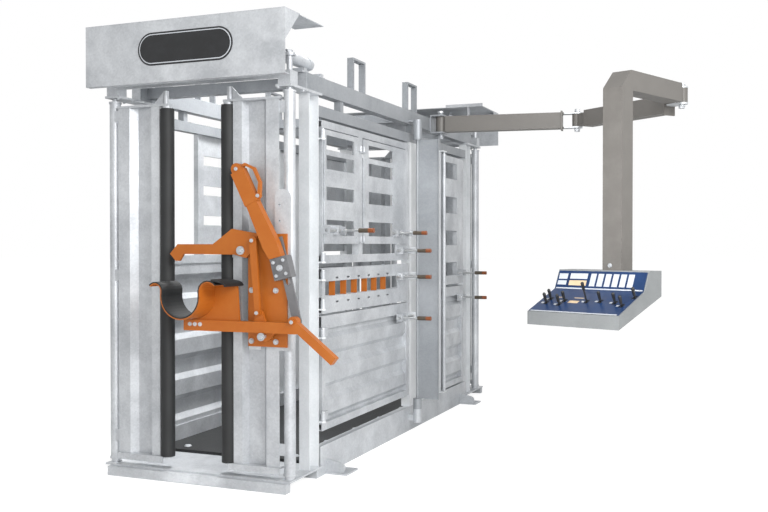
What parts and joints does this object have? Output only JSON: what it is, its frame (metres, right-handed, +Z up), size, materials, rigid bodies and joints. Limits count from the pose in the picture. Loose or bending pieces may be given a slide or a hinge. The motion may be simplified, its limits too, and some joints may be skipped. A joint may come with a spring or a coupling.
{
  "type": "hydraulic cattle crush",
  "caption": "Galvanised cattle crush with cranked head and tail gates, side gates, rubber floor, orange head restraint and a control console on a jointed boom.",
  "frame": {"origin": "on the ground, in the middle of the four anchor bolt holes", "axes": "+X across the crush to the side with the console, +Y from the head gate to the tail gate, +Z up"},
  "size_m": [2.9993, 3.767, 2.4],
  "materials": {
    "galvanised_steel": "hot-dip galvanised, satin",
    "orange_enamel": "semi-gloss",
    "black_rubber": "matte",
    "grey_paint": "satin",
    "chromed_rod": "polished",
    "blue_paint": "semi-gloss",
    "black_plastic": "matte"
  },
  "bodies": {
    "crush": {"base_frame": "galvanised_steel", "floor_mat": "black_rubber", "side_posts": "galvanised_steel", "top_rails": "galvanised_steel", "front_header": "galvanised_steel", "front_fascia": "galvanised_steel", "rear_header": "galvanised_steel", "left_wall": "galvanised_steel", "gate_cylinders": "galvanised_steel"},
    "head_gate_r": {"head_leaf_right": "galvanised_steel", "neck_rubber_right": "black_rubber", "restraint_bracket": "galvanised_steel", "restraint_plate": "orange_enamel"},
    "head_gate_l": {"head_leaf_left": "galvanised_steel", "neck_rubber_left": "black_rubber"},
    "tail_gate_r": {"tail_leaf_right": "galvanised_steel"},
    "tail_gate_l": {"tail_leaf_left": "galvanised_steel"},
    "rod_fr": {"rod_front_right": "chromed_rod"},
    "rod_fl": {"rod_front_left": "chromed_rod"},
    "rod_rr": {"rod_rear_right": "chromed_rod"},
    "rod_rl": {"rod_rear_left": "chromed_rod"},
    "chin": {"chin_arm": "orange_enamel", "chin_scoop": "orange_enamel", "scoop_lining": "black_rubber"},
    "nose": {"nose_bar": "orange_enamel"},
    "link": {"link_bar": "orange_enamel"},
    "strut": {"clamp_strut": "grey_paint"},
    "clamp": {"friction_clamp": "grey_paint", "clamp_lever": "orange_enamel", "grip_loop": "orange_enamel"},
    "upper_gate": {"window_gate": "galvanised_steel"},
    "leaf_f": {"window_leaf_front": "galvanised_steel"},
    "leaf_r": {"window_leaf_rear": "galvanised_steel"},
    "middle_gate": {"comb_gate": "galvanised_steel", "comb_tabs": "orange_enamel"},
    "lower_gate": {"kick_gate": "galvanised_steel"},
    "rear_upper": {"rear_upper_gate": "galvanised_steel"},
    "rear_lower": {"rear_lower_gate": "galvanised_steel"},
    "wing": {"wing_panel": "galvanised_steel"},
    "boom_1": {"boom_arm_1": "grey_paint"},
    "boom_2": {"boom_arm_2": "grey_paint"},
    "console": {"boom_column": "grey_paint", "console_box": "galvanised_steel", "console_panel": "blue_paint"},
    "lever_1_body": {"lever_1": "black_plastic"},
    "lever_2_body": {"lever_2": "black_plastic"},
    "lever_3_body": {"lever_3": "black_plastic"},
    "lever_4_body": {"lever_4": "black_plastic"},
    "lever_5_body": {"lever_5": "black_plastic"},
    "lever_6_body": {"lever_6": "black_plastic"},
    "lever_7_body": {"lever_7": "black_plastic"},
    "lever_8_body": {"lever_8": "black_plastic"},
    "lever_9_body": {"lever_9": "black_plastic"},
    "latch_window_front_body": {"latch_window_front": "orange_enamel"},
    "latch_window_rear_body": {"latch_window_rear": "orange_enamel"},
    "latch_window_gate_body": {"latch_window_gate": "orange_enamel"},
    "latch_comb_body": {"latch_comb": "orange_enamel"},
    "latch_kick_body": {"latch_kick": "orange_enamel"},
    "latch_rear_upper_body": {"latch_rear_upper": "orange_enamel"},
    "latch_rear_lower_body": {"latch_rear_lower": "orange_enamel"}
  },
  "joints": [
    {"name": "head_gate_right", "type": "hinge", "parent": "crush", "child": "head_gate_r", "pos_m": [0.535, -1.67, 0.06], "axis": [0, 0, 1], "range_deg": [0, 85]},
    {"name": "head_gate_left", "type": "hinge", "parent": "crush", "child": "head_gate_l", "pos_m": [-0.535, -1.67, 0.06], "axis": [0, 0, -1], "range_deg": [0, 85]},
    {"name": "tail_gate_right", "type": "hinge", "parent": "crush", "child": "tail_gate_r", "pos_m": [0.535, 1.595, 0.06], "axis": [0, 0, -1], "range_deg": [0, 85]},
    {"name": "tail_gate_left", "type": "hinge", "parent": "crush", "child": "tail_gate_l", "pos_m": [-0.535, 1.595, 0.06], "axis": [0, 0, 1], "range_deg": [0, 85]},
    {"name": "rod_fr_slide", "type": "slide", "parent": "crush", "child": "rod_fr", "axis": [0, -1, 0], "range_m": [0, 0.149]},
    {"name": "rod_fl_slide", "type": "slide", "parent": "crush", "child": "rod_fl", "axis": [0, -1, 0], "range_m": [0, 0.149]},
    {"name": "rod_rr_slide", "type": "slide", "parent": "crush", "child": "rod_rr", "axis": [0, 1, 0], "range_m": [0, 0.149]},
    {"name": "rod_rl_slide", "type": "slide", "parent": "crush", "child": "rod_rl", "axis": [0, 1, 0], "range_m": [0, 0.149]},
    {"name": "chin_pivot", "type": "hinge", "parent": "head_gate_r", "child": "chin", "pos_m": [0.4366, -1.75, 0.7866], "axis": [0, -1, 0], "range_deg": [-4, 16]},
    {"name": "nose_pivot", "type": "hinge", "parent": "head_gate_r", "child": "nose", "pos_m": [0.3015, -1.75, 1.216], "axis": [0, -1, 0], "range_deg": [-9, 2.5]},
    {"name": "link_pivot", "type": "hinge", "parent": "chin", "child": "link", "pos_m": [0.404, -1.75, 0.904], "axis": [0, -1, 0], "range_deg": [-22.5, 6]},
    {"name": "strut_pivot", "type": "hinge", "parent": "chin", "child": "strut", "pos_m": [0.607, -1.75, 0.865], "axis": [0, -1, 0], "range_deg": [-20.5, 5.5]},
    {"name": "clamp_pivot", "type": "hinge", "parent": "head_gate_r", "child": "clamp", "pos_m": [0.5385, -1.75, 1.13], "axis": [0, -1, 0], "range_deg": [-4.2, 1.2]},
    {"name": "upper_gate_hinge", "type": "hinge", "parent": "crush", "child": "upper_gate", "pos_m": [0.566, -1.348, 1.5], "axis": [0, 0, -1], "range_deg": [0, 100]},
    {"name": "middle_gate_hinge", "type": "hinge", "parent": "crush", "child": "middle_gate", "pos_m": [0.566, -1.348, 1], "axis": [0, 0, -1], "range_deg": [0, 50]},
    {"name": "lower_gate_hinge", "type": "hinge", "parent": "crush", "child": "lower_gate", "pos_m": [0.566, -1.348, 0.55], "axis": [0, 0, -1], "range_deg": [0, 55]},
    {"name": "front_window_hinge", "type": "hinge", "parent": "upper_gate", "child": "leaf_f", "pos_m": [0.562, -0.832, 1.5], "axis": [0, 0, 1], "range_deg": [0, 80]},
    {"name": "rear_window_hinge", "type": "hinge", "parent": "upper_gate", "child": "leaf_r", "pos_m": [0.562, -0.788, 1.5], "axis": [0, 0, -1], "range_deg": [0, 80]},
    {"name": "rear_upper_hinge", "type": "hinge", "parent": "crush", "child": "rear_upper", "pos_m": [0.566, 0.695, 1.5], "axis": [0, 0, -1], "range_deg": [0, 100]},
    {"name": "rear_lower_hinge", "type": "hinge", "parent": "crush", "child": "rear_lower", "pos_m": [0.566, 0.695, 0.55], "axis": [0, 0, -1], "range_deg": [0, 100]},
    {"name": "wing_hinge", "type": "hinge", "parent": "crush", "child": "wing", "pos_m": [0.608, 0.01, 1], "axis": [0, 0, 1], "range_deg": [0, 85]},
    {"name": "boom_root", "type": "hinge", "parent": "crush", "child": "boom_1", "pos_m": [0.61, 0.485, 2.097], "axis": [0, 0, 1], "range_deg": [-15, 60]},
    {"name": "boom_elbow", "type": "hinge", "parent": "boom_1", "child": "boom_2", "pos_m": [1.55441, 0.61269, 2.097], "axis": [0, 0, 1], "range_deg": [-20, 80]},
    {"name": "boom_wrist", "type": "hinge", "parent": "boom_2", "child": "console", "pos_m": [2.28825, 0.02687, 2.139], "axis": [0, 0, 1], "range_deg": [-30, 70]},
    {"name": "lever_1_tilt", "type": "hinge", "parent": "console", "child": "lever_1_body", "pos_m": [1.65729, -0.80339, 0.90751], "axis": [0.9272, -0.3746, 0], "range_deg": [-15, 15], "stiffness_Nm_per_rad": 0.6},
    {"name": "lever_2_tilt", "type": "hinge", "parent": "console", "child": "lever_2_body", "pos_m": [1.67488, -0.7652, 0.92592], "axis": [0.9272, -0.3746, 0], "range_deg": [-15, 15], "stiffness_Nm_per_rad": 0.6},
    {"name": "lever_3_tilt", "type": "hinge", "parent": "console", "child": "lever_3_body", "pos_m": [1.73606, -0.846, 0.90312], "axis": [0.9272, -0.3746, 0], "range_deg": [-15, 15], "stiffness_Nm_per_rad": 0.6},
    {"name": "lever_4_tilt", "type": "hinge", "parent": "console", "child": "lever_4_body", "pos_m": [1.75957, -0.81452, 0.91978], "axis": [0.9272, -0.3746, 0], "range_deg": [-15, 15], "stiffness_Nm_per_rad": 0.6},
    {"name": "lever_5_tilt", "type": "hinge", "parent": "console", "child": "lever_5_body", "pos_m": [1.88604, -0.86454, 0.92022], "axis": [0.9272, -0.3746, 0], "range_deg": [-15, 15], "stiffness_Nm_per_rad": 0.6},
    {"name": "lever_6_tilt", "type": "hinge", "parent": "console", "child": "lever_6_body", "pos_m": [1.96118, -0.88411, 0.92461], "axis": [0.9272, -0.3746, 0], "range_deg": [-15, 15], "stiffness_Nm_per_rad": 0.6},
    {"name": "lever_7_tilt", "type": "hinge", "parent": "console", "child": "lever_7_body", "pos_m": [2.04201, -0.92431, 0.92154], "axis": [0.9272, -0.3746, 0], "range_deg": [-15, 15], "stiffness_Nm_per_rad": 0.6},
    {"name": "lever_8_tilt", "type": "hinge", "parent": "console", "child": "lever_8_body", "pos_m": [2.08289, -0.96995, 0.9097], "axis": [0.9272, -0.3746, 0], "range_deg": [-15, 15], "stiffness_Nm_per_rad": 0.6},
    {"name": "lever_9_tilt", "type": "hinge", "parent": "console", "child": "lever_9_body", "pos_m": [2.13793, -0.89512, 0.94916], "axis": [0.9272, -0.3746, 0], "range_deg": [-15, 15], "stiffness_Nm_per_rad": 0.6},
    {"name": "latch_window_front_slide", "type": "slide", "parent": "leaf_f", "child": "latch_window_front_body", "axis": [0, -1, 0], "range_m": [0, 0.04]},
    {"name": "latch_window_rear_slide", "type": "slide", "parent": "leaf_r", "child": "latch_window_rear_body", "axis": [0, 1, 0], "range_m": [0, 0.04]},
    {"name": "latch_window_gate_slide", "type": "slide", "parent": "upper_gate", "child": "latch_window_gate_body", "axis": [0, 1, 0], "range_m": [0, 0.04]},
    {"name": "latch_comb_slide", "type": "slide", "parent": "middle_gate", "child": "latch_comb_body", "axis": [0, 1, 0], "range_m": [0, 0.04]},
    {"name": "latch_kick_slide", "type": "slide", "parent": "lower_gate", "child": "latch_kick_body", "axis": [0, 1, 0], "range_m": [0, 0.04]},
    {"name": "latch_rear_upper_slide", "type": "slide", "parent": "rear_upper", "child": "latch_rear_upper_body", "axis": [0, 1, 0], "range_m": [0, 0.04]},
    {"name": "latch_rear_lower_slide", "type": "slide", "parent": "rear_lower", "child": "latch_rear_lower_body", "axis": [0, 1, 0], "range_m": [0, 0.04]}
  ],
  "couplings": [
    {"joint": "head_gate_left", "follows": "head_gate_right", "ratio": 1},
    {"joint": "tail_gate_left", "follows": "tail_gate_right", "ratio": 1},
    {"joint": "rod_fr_slide", "follows": "head_gate_right", "m_per_rad": 0.10019},
    {"joint": "rod_fl_slide", "follows": "head_gate_right", "m_per_rad": 0.10019},
    {"joint": "rod_rr_slide", "follows": "tail_gate_right", "m_per_rad": 0.10019},
    {"joint": "rod_rl_slide", "follows": "tail_gate_right", "m_per_rad": 0.10019},
    {"joint": "nose_pivot", "follows": "chin_pivot", "ratio": -0.54},
    {"joint": "link_pivot", "follows": "chin_pivot", "ratio": -1.374},
    {"joint": "strut_pivot", "follows": "chin_pivot", "ratio": -1.246},
    {"joint": "clamp_pivot", "follows": "chin_pivot", "ratio": -0.246}
  ]
}
